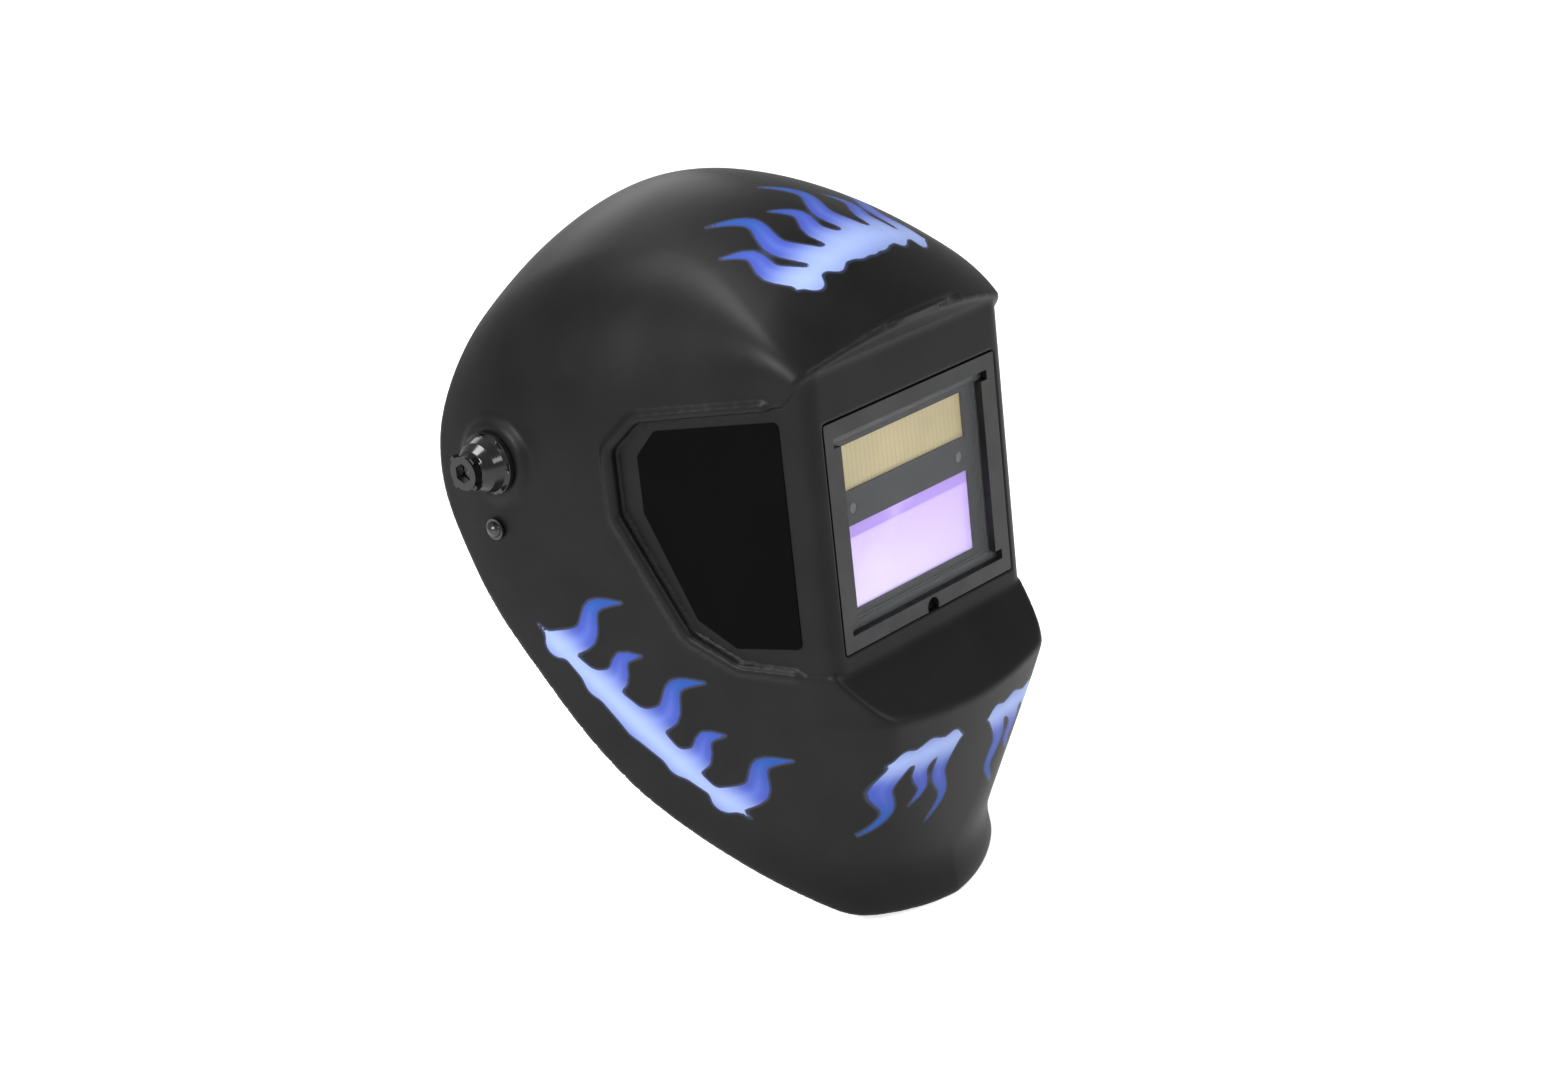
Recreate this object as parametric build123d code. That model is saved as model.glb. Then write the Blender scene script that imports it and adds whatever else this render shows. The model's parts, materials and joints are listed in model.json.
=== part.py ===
from build123d import *
import math
import os

# Welding helmet with an auto-darkening lens.
# Frame: origin midway between the two tilt pivots, +Z up, -Y is where the wearer looks,
# +X is the wearer's left.  Millimetres.

# ---------------------------------------------------------------- driving dimensions
WALL = 3.0
HALF_WIDTH = 117.5          # shell half width at the pivots
CROWN_HEIGHT = 121.0        # top of the dome above the pivots
CROWN_Y = -50.0
FACE_Y = -172.0             # plane of the window face
WINDOW_Z = -35.0            # centre of the window
FRAME_W = 133.4             # standard 5 1/4 x 4 1/2 in front lens frame
FRAME_H = 114.3
SLOT_W = 120.6
SLOT_H = 98.8
CARTRIDGE_W = 110.0         # standard 110 x 90 mm auto-darkening cartridge
CARTRIDGE_H = 90.0
VIEW_W = 96.4
VIEW_H = 41.8
VIEW_Z = WINDOW_Z - 20.4
SOLAR_H = 23.1
SOLAR_Z = WINDOW_Z + 29.2
SENSOR_Z = WINDOW_Z + 8.6
SENSOR_X = 42.0

FRAME_T = 4.0
COVER_LENS_T = 1.2
GASKET_T = 0.8
HOLDER_FRONT_Y = FACE_Y + FRAME_T + COVER_LENS_T + GASKET_T + 0.2
CARTRIDGE_Y = FACE_Y + 7.5
CARTRIDGE_D = 11.0
CARTRIDGE_BACK = CARTRIDGE_Y + CARTRIDGE_D
CASE_WALL = 1.5
HOLDER_BACK = -149.0

PIVOT_OUT = 117.2           # flat outer face of the pivot pad
PIVOT_IN = 112.9
PIVOT_PAD_R = 18.0
BOLT_R = 4.0
BOLT_HOLE_R = 4.08
STUD_Y = 3.5
STUD_Z = -35.0

BAND_HALF_WIDTH = 79.0
BAND_HALF_LENGTH = 106.0
BAND_CENTRE_V = 2.0
BAND_POWER = 2.3
BAND_T = 1.8
BAND_H = 26.0
BAND_TILT = -19.0           # the band is high at the forehead and low at the nape
BAND_Z = -3.5

RATCHET_HALF_W = 40.0
RATCHET_H = 44.0
RATCHET_FRONT_V = 97.0
RATCHET_BACK_V = 117.0
RATCHET_SCREW_X = 31.0
RATCHET_SCREW_H = 16.5
PINION_PITCH_R = 5.0
TAIL_T = 1.8

# side view of the rim as (y, z), from the crown round to the chin
RIM = [(20, 130), (27, 94), (37, 60), (44, 20), (42, -5), (35, -30), (25, -55), (12, -80),
       (-8, -110), (-30, -142), (-52, -167), (-83, -195), (-116, -219), (-150, -238),
       (-171, -245), (-215, -258)]

# side view of the set-back area round the window, 8 mm inside its rounded corners
SETBACK = [(-75, 6), (-87, 17.5), (-164, 26.5), (-181, 46), (-260, 136), (-260, -186),
           (-174, -92.5), (-125, -90), (-104, -78), (-75, -22)]
SETBACK_R = 8.0

os.makedirs("parts", exist_ok=True)


# ---------------------------------------------------------------- small helpers
def block(x0, x1, y0, y1, z0, z1):
    """Box between two corners."""
    centre = Pos((x0 + x1) / 2, (y0 + y1) / 2, (z0 + z1) / 2)
    return centre * Box(abs(x1 - x0), abs(y1 - y0), abs(z1 - z0))


def rod_x(radius, x0, x1, y=0.0, z=0.0):
    """Cylinder along X."""
    return Pos((x0 + x1) / 2, y, z) * Rot(0, 90, 0) * Cylinder(radius, abs(x1 - x0))


def rod_y(radius, y0, y1, x=0.0, z=0.0):
    """Cylinder along Y."""
    return Pos(x, (y0 + y1) / 2, z) * Rot(90, 0, 0) * Cylinder(radius, abs(y1 - y0))


def rod_z(radius, z0, z1, x=0.0, y=0.0):
    """Cylinder along Z."""
    return Pos(x, y, (z0 + z1) / 2) * Cylinder(radius, abs(z1 - z0))


def panel(width, height, y0, y1, z=WINDOW_Z, radius=0.0, x=0.0):
    """Upright plate facing -Y, with rounded corners."""
    plate = Pos(x, (y0 + y1) / 2, z) * Box(width, abs(y1 - y0), height)
    if radius:
        plate = fillet(plate.edges().filter_by(Axis.Y), radius)
    return plate


def across(points, half, smooth=False):
    """Side-view (y, z) outline carried across the helmet along X."""
    if smooth:
        far = [(points[-1][0], -400), (200, -400), (200, points[0][1])]
        outline = Spline(*points) + Polyline(points[-1], *far, points[0])
    else:
        outline = Polyline(*points, close=True)
    return extrude(Plane.YZ * make_face(outline), amount=half, both=True)


def left_and_right(shape):
    """The same piece on both sides."""
    return shape, mirror(shape, about=Plane.YZ)


def write(shape, name):
    shape.label = name
    export_step(shape, "parts/" + name + ".step")


# ---------------------------------------------------------------- hull of the helmet
def smooth_max(a, b, k):
    h = max(k - abs(a - b), 0.0)
    return max(a, b) + h * h / (4 * k)


def ease(t):
    t = min(max(t, 0.0), 1.0)
    return t * t * (3 - 2 * t)


def rim_height(y):
    """Height of the lower rim at a depth."""
    lower = RIM[3:]
    if y >= lower[0][0]:
        return lower[0][1]
    for (y1, z1), (y0, z0) in zip(lower, lower[1:]):
        if y0 <= y <= y1:
            return z0 + (z1 - z0) * (y - y0) / (y1 - y0)
    return lower[-1][1]


def lip_flare(y, z):
    """How far the chin lip turns outward."""
    up = max(z - rim_height(y), 0.0) * 0.77
    return 8.5 * ease((-60 - y) / 100) * math.exp(-(up / 12) ** 2)


def half_width(y, z):
    s = max(0.0, 20 - y)
    chin = 4 * ease((-60 - z) / 130)
    brow = 2.5 * ease((-120 - y) / 60) * ease((z + 20) / 60)
    return HALF_WIDTH - 0.2853 * s * s / (s + 67.7) - chin + brow


def front_face(x, z):
    if z >= -127:
        y = -200 + 12 * (z + 127) / 175
    else:
        y = -200 + 0.31 * (-127 - z)
    bow = 0.0012 + (0.0008 * ease(-z / 120) if z < 0 else 0.0)
    return y + bow * x * x


def corner_softness(z):
    if z > 0:
        return 6.0
    return 10.0 + 0.70 * max(-127 - z, 0.0)


def hull_level(x, y, z):
    """Negative inside the outer hull, zero on it, roughly a distance in millimetres."""
    side_x = abs(x)
    lip = lip_flare(y, z)
    side = (side_x - half_width(y, z) - lip) / 1.03
    front = front_face(x, z) - lip - y
    corner = (side_x - 64.0) * 0.833 + (-192.5 - y) * 0.554 - 0.175 * (z + 127) - lip
    fall = 0.0026 if y < CROWN_Y else 0.0045
    d = y - CROWN_Y
    crown = z - (CROWN_HEIGHT - fall * d * d - 0.0115 * side_x ** 1.8)
    crown /= math.sqrt(1 + (2 * fall * d) ** 2 + (0.0207 * side_x ** 0.8) ** 2)
    brow = (z - 48 - 2 * (y + 188 - 0.0012 * x * x)) / math.sqrt(5)
    top = smooth_max(crown, brow, 22)
    sides = smooth_max(side, top, 40 - 34 * ease((-80 - y) / 90))
    nose = smooth_max(front, corner, 6)
    return smooth_max(smooth_max(sides, nose, corner_softness(z)), y - 75, 30)


FAN_Y = 75.0                # the wall is lofted through planes that fan round this axis
FAN_Z = -30.0
FAN_FROM = 105.0
FAN_TO = 236.0
FAN_ROWS = 22
FAN_COLUMNS = 18


def rim_reach(angle):
    """Distance from the fan axis to the rim, in one plane of the fan."""
    if angle < 122:
        return 58.8 + (122 - angle) * 1.55
    if angle > 217:
        return rim_reach(217) + (angle - 217) * 2.6
    c = math.cos(math.radians(angle))
    s = math.sin(math.radians(angle))
    for (y1, z1), (y0, z0) in zip(RIM, RIM[1:]):
        dy = y1 - y0
        dz = z1 - z0
        across_ray = c * dz - s * dy
        if abs(across_ray) < 1e-9:
            continue
        reach = ((y0 - FAN_Y) * dz - (z0 - FAN_Z) * dy) / across_ray
        along = ((y0 - FAN_Y) * s - (z0 - FAN_Z) * c) / across_ray
        if -1e-6 <= along <= 1 + 1e-6 and reach > 0:
            return reach
    return 60.0


def hull_curve(angle, inset):
    """Points of the hull, moved inward by inset, in one plane of the fan."""
    c = math.cos(math.radians(angle))
    s = math.sin(math.radians(angle))
    base = rim_reach(angle) - 9
    points = []
    for j in range(FAN_COLUMNS + 1):
        swing = math.radians(180 * j / FAN_COLUMNS - 90)
        near = 0.0
        far = 330.0
        for _ in range(36):
            q = (near + far) / 2
            r = base + q * math.cos(swing)
            if hull_level(q * math.sin(swing), FAN_Y + r * c, FAN_Z + r * s) < -inset:
                near = q
            else:
                far = q
        r = base + near * math.cos(swing)
        points.append(Vector(near * math.sin(swing), FAN_Y + r * c, FAN_Z + r * s))
    return points


def hull_wall():
    """The moulded wall, one C-shaped section in each plane of the fan."""
    wires = []
    for i in range(FAN_ROWS + 1):
        angle = FAN_FROM + (FAN_TO - FAN_FROM) * i / FAN_ROWS
        outer = hull_curve(angle, 0.0)
        inner = hull_curve(angle, WALL)
        edges = [Edge.make_spline(outer), Edge.make_line(outer[-1], inner[-1])]
        edges += [Edge.make_spline(inner[::-1]), Edge.make_line(inner[0], outer[0])]
        wires.append(Wire(edges))
    return Solid.make_loft(wires, ruled=True)


# ---------------------------------------------------------------- shell
FLOOR_FRONT_X = 78.0
FLOOR_SLOPE = 0.215
FLOOR_FRONT_Y = -163.0


def window_box(inset):
    """The inner box: window face and the two flat side floors."""
    front_x = FLOOR_FRONT_X - inset
    back_y = -30.0
    back_x = front_x + FLOOR_SLOPE * (back_y - FLOOR_FRONT_Y)
    front_y = FACE_Y + inset
    edge_x = front_x - FLOOR_SLOPE * (FLOOR_FRONT_Y - front_y)
    outline = [(-edge_x, front_y), (edge_x, front_y), (back_x, back_y), (-back_x, back_y)]
    box = extrude(Pos(0, 0, -150) * make_face(Polyline(*outline, close=True)), amount=250)
    front_edges = box.edges().filter_by(Axis.Z).sort_by(Axis.Y)[:2]
    return fillet(front_edges, 9.0 - inset * 0.9)


def setback_area(grow):
    outline = make_face(Polyline(*SETBACK, close=True))
    outline = offset(outline, amount=SETBACK_R + grow, kind=Kind.ARC)
    return extrude(Plane.YZ * outline, amount=160, both=True)


def setback_walls():
    """Window face, side floors and the steps round them, as thick as the hull wall."""
    plan = [(-62, -193), (-30, -196.5), (0, -197.5), (30, -196.5), (62, -193), (76, -178),
            (81, -160), (90, -120), (102.5, -62), (104, -40), (-104, -40), (-102.5, -62),
            (-90, -120), (-81, -160), (-76, -178)]
    side = [(-30, -140), (-188.5, -140), (-196.3, -128.6), (-193, -60), (-186, 30), (-186.5, 49),
            (-176, 62), (-30, 62)]
    inside_hull = extrude(Pos(0, 0, -150) * make_face(Polyline(*plan, close=True)), amount=250)
    inside_hull &= across(side, 140)
    walls = (setback_area(WALL) & inside_hull) - (setback_area(0.0) - window_box(0.0))
    return walls - window_box(WALL)


def lens_well():
    """Pocket behind the window face that takes the frame, the cover lens and the holder."""
    well = panel(140.0, 121.0, FACE_Y + 1.0, HOLDER_BACK, radius=6.0)
    return well


def lens_cuts():
    cuts = panel(FRAME_W + 0.8, FRAME_H + 0.8, FACE_Y - 1, FACE_Y + FRAME_T, radius=1.5)
    cuts += panel(SLOT_W + 0.6, SLOT_H + 0.6, FACE_Y, FACE_Y + FRAME_T + 2.4)
    cuts += panel(128.0, 108.0, FACE_Y + FRAME_T + 2.0, HOLDER_BACK + 1)
    return cuts


def helmet_shell():
    rim = [(16, 150)] + RIM[1:-1] + [(-230, -266)]
    shell = hull_wall() - across(rim, 160, smooth=True) - setback_area(0.0)
    shell += setback_walls()
    for side in (-1, 1):
        shell += rod_x(PIVOT_PAD_R, side * PIVOT_IN, side * PIVOT_OUT)
        shell -= rod_x(PIVOT_PAD_R, side * PIVOT_OUT, side * (PIVOT_OUT + 5))
        shell -= rod_x(PIVOT_PAD_R, side * PIVOT_IN, side * (PIVOT_IN - 6))
        shell -= rod_x(BOLT_HOLE_R, side * 105, side * 125)
    shell += lens_well()
    shell -= lens_cuts()
    return shell - rod_x(2.7, -105, -125, STUD_Y, STUD_Z)


def side_panel():
    """Thin glossy panel lying on one side floor."""
    outline = [(-82, 5), (-91, 16), (-153, 23), (-153, -84), (-122, -86), (-104, -74), (-82, -22)]
    area = offset(make_face(Polyline(*outline, close=True)), amount=3.0, kind=Kind.ARC)
    slab = extrude(Plane.YZ * area, amount=120)
    floor = window_box(0.0)
    skin = window_box(-0.5)
    return slab & (skin - floor)


# ---------------------------------------------------------------- window stack
def front_lens_frame():
    frame = panel(FRAME_W, FRAME_H, FACE_Y, FACE_Y + FRAME_T - 0.05, radius=1.2)
    frame -= panel(CARTRIDGE_W + 0.6, SLOT_H, FACE_Y - 1, FACE_Y + 6)
    for end in (-1, 1):
        z = WINDOW_Z + end * (SLOT_H / 2 - 2.5)
        frame -= panel(SLOT_W, 5.0, FACE_Y - 1, FACE_Y + 6, z=z)
    notch_z = WINDOW_Z - FRAME_H / 2
    frame -= rod_y(4.5, FACE_Y - 1, FACE_Y + 6, x=2.0, z=notch_z + 2.0)
    return frame


def front_cover_lens():
    y0 = FACE_Y + FRAME_T + 0.05
    return panel(SLOT_W - 0.2, SLOT_H - 0.2, y0, y0 + COVER_LENS_T - 0.1)


def lens_gasket():
    y0 = FACE_Y + FRAME_T + COVER_LENS_T
    ring = panel(SLOT_W - 0.6, SLOT_H - 0.6, y0, y0 + GASKET_T)
    return ring - panel(CARTRIDGE_W + 0.6, CARTRIDGE_H + 0.6, y0 - 1, y0 + 2)


WIRE_X = CARTRIDGE_W / 2 - 2.2
WIRE_R = 0.8


def cartridge_holder():
    holder = panel(127.4, 107.4, HOLDER_FRONT_Y, HOLDER_BACK, radius=2.0)
    holder -= panel(CARTRIDGE_W + 0.5, CARTRIDGE_H + 0.5, CARTRIDGE_Y - 0.1, HOLDER_BACK + 1)
    holder -= panel(CARTRIDGE_W - 1.2, CARTRIDGE_H - 1.2, HOLDER_FRONT_Y - 1, CARTRIDGE_Y)
    for side in (-1, 1):
        half = CARTRIDGE_H / 2 + 3.2
        y = CARTRIDGE_BACK + WIRE_R
        holder -= rod_z(WIRE_R + 0.1, WINDOW_Z - half, WINDOW_Z + half, side * WIRE_X, y)
    return holder


def retainer_wires():
    """Two spring wires that snap across the back of the cartridge."""
    half = CARTRIDGE_H / 2 + 3.0
    y = CARTRIDGE_BACK + WIRE_R
    wires = [rod_z(WIRE_R, WINDOW_Z - half, WINDOW_Z + half, s * WIRE_X, y) for s in (-1, 1)]
    return Compound(children=wires)


CASE_SPLIT = CARTRIDGE_Y + 5.5


def cartridge_front():
    case = panel(CARTRIDGE_W, CARTRIDGE_H, CARTRIDGE_Y, CASE_SPLIT, radius=2.0)
    inside_y = CARTRIDGE_Y + CASE_WALL
    case -= panel(CARTRIDGE_W - 3, CARTRIDGE_H - 3, inside_y, CASE_SPLIT + 1, radius=1.0)
    case -= panel(VIEW_W, VIEW_H, CARTRIDGE_Y - 1, inside_y + 1, z=VIEW_Z)
    case -= panel(VIEW_W, SOLAR_H, CARTRIDGE_Y - 1, inside_y + 1, z=SOLAR_Z)
    for side in (-1, 1):
        case -= rod_y(2.6, CARTRIDGE_Y - 1, inside_y + 1, side * SENSOR_X, SENSOR_Z)
    return case


DIAL_Z = WINDOW_Z + 29.0
SHADE_X = 22.0
SENSE_X = -22.0
SHAFT_R = 2.5


def cartridge_rear():
    case = panel(CARTRIDGE_W, CARTRIDGE_H, CASE_SPLIT, CARTRIDGE_BACK, radius=2.0)
    inside_y = CARTRIDGE_BACK - CASE_WALL
    case -= panel(CARTRIDGE_W - 3, CARTRIDGE_H - 3, CASE_SPLIT - 1, inside_y, radius=1.0)
    case -= panel(VIEW_W, VIEW_H, inside_y - 1, CARTRIDGE_BACK + 1, z=VIEW_Z)
    for x in (SHADE_X, SENSE_X):
        case -= rod_y(SHAFT_R + 0.08, inside_y - 1, CARTRIDGE_BACK + 1, x, DIAL_Z)
    case -= panel(10.0, 3.4, inside_y - 1, CARTRIDGE_BACK + 1, z=DIAL_Z)
    return case


def optical_stack():
    """Filter glass, two liquid crystal cells and the rear glass, front to back."""
    y = CARTRIDGE_Y + CASE_WALL
    layers = {}
    for name, thick in (("uv_ir_filter", 1.2), ("lcd_cell_front", 3.0), ("lcd_cell_rear", 3.0),
                        ("rear_glass", 0.8)):
        layers[name] = panel(VIEW_W + 4, VIEW_H + 3.4, y, y + thick, z=VIEW_Z)
        y += thick
    return layers


def solar_cell():
    y = CARTRIDGE_Y + CASE_WALL
    return panel(VIEW_W + 3, SOLAR_H + 2, y, y + 0.8, z=SOLAR_Z)


def arc_sensors():
    """Two light sensors that look out between the solar cell and the view."""
    y = CARTRIDGE_Y + 0.3
    sensors = []
    for side in (-1, 1):
        body = rod_y(2.5, y, y + 3.0, side * SENSOR_X, SENSOR_Z)
        sensors.append(body)
    return Compound(children=sensors)


BOARD_Y = CARTRIDGE_Y + 4.6
BOARD_TOP = WINDOW_Z + CARTRIDGE_H / 2 - 2.5
BOARD_BOTTOM = VIEW_Z + VIEW_H / 2 + 2.8


def control_board():
    return block(-51.5, 51.5, BOARD_Y, BOARD_Y + 1.2, BOARD_BOTTOM, BOARD_TOP)


def board_parts():
    """Controller, capacitors and the two potentiometer bodies."""
    y = BOARD_Y + 1.2
    pieces = [block(-5, 5, y, y + 1.6, DIAL_Z - 14, DIAL_Z - 6)]
    for x in (SHADE_X, SENSE_X):
        pieces.append(block(x - 4.5, x + 4.5, y, y + 2.2, DIAL_Z - 4.5, DIAL_Z + 4.5))
    for x in (-33.0, 33.0):
        pieces.append(block(x - 2, x + 2, y, y + 2.4, DIAL_Z - 12, DIAL_Z - 7))
    return Compound(children=pieces)


def coin_cells():
    y = BOARD_Y + 1.2
    cells = [rod_y(7.9, y, y + 2.5, side * 42.5, DIAL_Z - 2.5) for side in (-1, 1)]
    return Compound(children=cells)


def dial(x, radius, thick, ribs):
    """Finger dial on a short shaft, with a ribbed edge and a pointer groove."""
    y0 = CARTRIDGE_BACK + 0.4
    knob = rod_y(radius, y0, y0 + thick, x, DIAL_Z)
    for i in range(ribs):
        a = 2 * math.pi * i / ribs
        px = x + radius * math.cos(a)
        pz = DIAL_Z + radius * math.sin(a)
        knob -= rod_y(radius * 0.09, y0 - 1, y0 + thick + 1, px, pz)
    knob -= block(x - 0.6, x + 0.6, y0 + thick - 0.8, y0 + thick + 1, DIAL_Z + 1, DIAL_Z + radius)
    knob += rod_y(SHAFT_R, CARTRIDGE_BACK - CASE_WALL - 0.2, y0 + 0.5, x, DIAL_Z)
    return knob


def delay_switch():
    """Slide switch for how fast the lens clears."""
    inside = CARTRIDGE_BACK - CASE_WALL
    stem = panel(4.4, 3.0, inside - 0.1, CARTRIDGE_BACK + 2.2, z=DIAL_Z)
    foot = panel(16.0, 5.0, inside - 1.0, inside - 0.1, z=DIAL_Z)
    return stem + foot


def inner_cover_lens():
    y = CARTRIDGE_BACK + 0.05
    return panel(101.0, 50.0, y, y + 1.0, z=VIEW_Z + 0.5)


# ---------------------------------------------------------------- pivots
PLATE_IN = 109.3
PLATE_OUT = 112.6


def angle_stop_plate():
    """Plate on the wearer's right that sets how low the helmet comes down."""
    plate = rod_x(15.0, -PLATE_IN, -PLATE_OUT)
    plate += block(-PLATE_OUT, -PLATE_IN, STUD_Y - 7, STUD_Y + 7, STUD_Z, 0)
    plate += rod_x(7.0, -PLATE_IN, -PLATE_OUT, STUD_Y, STUD_Z)
    plate += block(-PLATE_IN - 0.5, -105.0, -3, 3, -24.5, -19)
    plate -= rod_x(BOLT_HOLE_R, -100, -120)
    plate -= rod_x(2.5, -100, -120, STUD_Y, STUD_Z)
    return plate


def stop_stud():
    """Snap stud that locks the stop plate to the shell; its domed head shows outside."""
    stud = rod_x(2.5, -PLATE_IN - 0.2, -118.0, STUD_Y, STUD_Z)
    head = Pos(-118.0, STUD_Y, STUD_Z) * Rot(0, -90, 0) * Cylinder(5.5, 1.2)
    dome = Pos(-117.6, STUD_Y, STUD_Z) * Sphere(4.3)
    dome = dome & block(-125, -118.0, STUD_Y - 6, STUD_Y + 6, STUD_Z - 6, STUD_Z + 6)
    return stud + head + dome


def pivot_spacer():
    """Plain spacer in the stop plate's place on the wearer's left."""
    return rod_x(15.0, PLATE_IN, PLATE_OUT) - rod_x(BOLT_HOLE_R, 100, 120)


def pivot_bolt():
    """Carriage bolt, head inside the side arm."""
    head = rod_x(9.0, 100.9, 103.5)
    square = block(103.5, 107.0, -4.4, 4.4, -4.4, 4.4)
    return head + square + rod_x(BOLT_R, 103.5, 132.0)


def friction_washer():
    return rod_x(14.0, 107.7, 109.2) - rod_x(BOLT_HOLE_R, 100, 120)


def knob_washer():
    return rod_x(13.0, PIVOT_OUT + 0.05, PIVOT_OUT + 0.85) - rod_x(BOLT_HOLE_R, 100, 130)


KNOB_X = PIVOT_OUT + 0.95
KNOB_LENGTH = 19.0


def knob_nut():
    """Hex nut moulded into the tension knob."""
    nut = extrude(Plane.YZ * RegularPolygon(7.5, 6), amount=6.5)
    return Pos(KNOB_X + 4, 0, 0) * nut - rod_x(BOLT_R + 0.05, 100, 140)


def tension_knob():
    profile = Polyline((0, 0), (16.0, 0), (16.0, 2.4), (14.2, 4.2), (12.6, 9.0), (9.8, 13.2),
                       (8.6, 14.2), (8.6, KNOB_LENGTH), (0, KNOB_LENGTH), close=True)
    knob = revolve(Plane.XZ * make_face(profile), axis=Axis.Z)
    for i in range(8):
        flute = Rot(0, 0, 45 * i) * Pos(19.2, 0, 9.4) * Rot(0, -16, 0) * Cylinder(6.2, 11.0)
        knob -= flute
    for i in range(4):
        knob += Rot(0, 0, 45 + 90 * i) * Pos(8.6, 0, 16.6) * Box(3.6, 3.0, 3.6)
    knob -= extrude(Pos(0, 0, KNOB_LENGTH - 6) * RegularPolygon(5.2, 6), amount=7)
    knob = Pos(KNOB_X, 0, 0) * Rot(0, 90, 0) * knob
    knob -= Pos(KNOB_X + 4, 0, 0) * extrude(Plane.YZ * RegularPolygon(7.5, 6), amount=6.5)
    return knob - rod_x(BOLT_R + 0.4, 100, 140)


# ---------------------------------------------------------------- headgear
def in_band_frame(shape):
    """Carries a piece drawn flat (x, v, w) to the tilted band."""
    return Pos(0, 0, BAND_Z) * Rot(BAND_TILT, 0, 0) * shape


def head_oval(shrink):
    a = BAND_HALF_WIDTH - shrink
    b = BAND_HALF_LENGTH - shrink
    points = []
    for i in range(40):
        t = 2 * math.pi * (i + 0.5) / 40
        c = math.cos(t)
        s = math.sin(t)
        x = a * math.copysign(abs(c) ** (2 / BAND_POWER), c)
        v = b * math.copysign(abs(s) ** (2 / BAND_POWER), s)
        points.append((x, BAND_CENTRE_V + v))
    return make_face(Spline(*points, periodic=True))


def oval_ring(outer, inner, height):
    ring = head_oval(outer) - head_oval(inner)
    return extrude(ring, amount=height / 2, both=True)


RIVET_X = 76.0
RIVET_Y = -37.0
RIVET_Z = [4.0, 15.0]
RIVET_TURN = 14.9           # the band and the arms lean in by this much there


def at_rivet(side, z, shape):
    """Carries a shape drawn along Z to a rivet, its +Z outward."""
    turn = Rot(0, 0, -side * RIVET_TURN) * Rot(0, side * 90, 0)
    return Pos(side * RIVET_X, RIVET_Y, z) * turn * shape


def headband():
    band = oval_ring(0.0, BAND_T, BAND_H)
    band -= block(-28, 28, 60, 130, -30, 30)
    band = in_band_frame(band)
    for z in RIVET_Z:
        for side in (-1, 1):
            band -= at_rivet(side, z, Cylinder(2.1, 14))
    return band


def brow_pad():
    """Sweat pad inside the front of the band."""
    pad = oval_ring(BAND_T + 0.3, BAND_T + 8.3, BAND_H + 6)
    pad -= block(-100, 100, -46, 150, -30, 30)
    return in_band_frame(pad)


def side_arm():
    """Arm from the pivot on the wearer's right forward and inward to the band."""
    path = Polyline((-105.6, 12), (-105.6, -10), (-100, -17), (-86, -29), (-79.9, -31),
                    (-75.9, -46))
    strap = extrude(Pos(0, 0, -6) * trace(path, 3.6), amount=26)
    arm = strap + rod_x(17.0, -103.6, -107.6)
    arm += block(-107.6, -103.6, 4.0, 9.5, -24.0, -12.0)
    arm -= block(-103.6, -94, -12.5, 12.5, -12.5, 12.5)
    arm -= block(-120, -90, -4.5, 4.5, -4.5, 4.5)
    for z in RIVET_Z:
        arm -= at_rivet(-1, z, Cylinder(2.1, 14))
    return arm


def arm_rivets():
    """Four rivets that hold the arms to the band."""
    rivet = rod_z(2.0, -4.3, 4.6) + rod_z(4.0, 4.15, 5.15) + rod_z(3.2, -4.7, -3.9)
    spots = [at_rivet(side, z, rivet) for z in RIVET_Z for side in (-1, 1)]
    return Compound(children=spots)


STRAP_HALF_W = 74.8
STRAP_TOP = 84.0
STRAP_T = 1.5
STRAP_W = 24.0


def strap_arch(lift):
    """Half arch over the head, as an elliptic strap in the X-Z plane."""
    outer = Ellipse(STRAP_HALF_W + STRAP_T, STRAP_TOP + lift + STRAP_T)
    inner = Ellipse(STRAP_HALF_W, STRAP_TOP + lift)
    arch = extrude(Plane.XZ * (outer - inner), amount=STRAP_W / 2, both=True)
    return Pos(0, -6, 0) * arch


PEG_X = [-14.0, 0.0, 14.0]


def crown_strap(side, lift):
    """One half of the crown strap; the halves lap at the top."""
    strap = strap_arch(lift)
    end = -24.0 * side
    strap = strap & block(end, side * 100, -40, 40, -1.0, 120)
    for x in PEG_X:
        strap -= rod_z(2.3, 60, 110, x, -6)
    return strap


def crown_pegs():
    """Two snap pegs through the lapped strap halves."""
    pegs = []
    for x in (PEG_X[0], PEG_X[2]):
        low = STRAP_TOP * math.sqrt(1 - (x / STRAP_HALF_W) ** 2)
        peg = rod_z(2.2, low - 1.6, low + 5.0, x, -6)
        peg += rod_z(4.5, low + 4.2, low + 5.8, x, -6)
        peg += rod_z(3.4, low - 2.8, low - 1.3, x, -6)
        pegs.append(peg)
    return Compound(children=pegs)


def ratchet_screw_spots():
    return [(x, h) for x in (-RATCHET_SCREW_X, RATCHET_SCREW_X)
            for h in (-RATCHET_SCREW_H, RATCHET_SCREW_H)]


def ratchet_front_cover():
    """Head side of the ratchet housing, with four screw posts."""
    v = RATCHET_FRONT_V
    w = RATCHET_H / 2
    cover = block(-RATCHET_HALF_W + 3.5, RATCHET_HALF_W - 3.5, v - 2, v, -w, w)
    for x, h in ratchet_screw_spots():
        cover += rod_y(3.0, v - 0.2, RATCHET_BACK_V - 2, x, h)
        cover -= rod_y(1.3, v + 4, RATCHET_BACK_V, x, h)
    return in_band_frame(cover)


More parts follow.
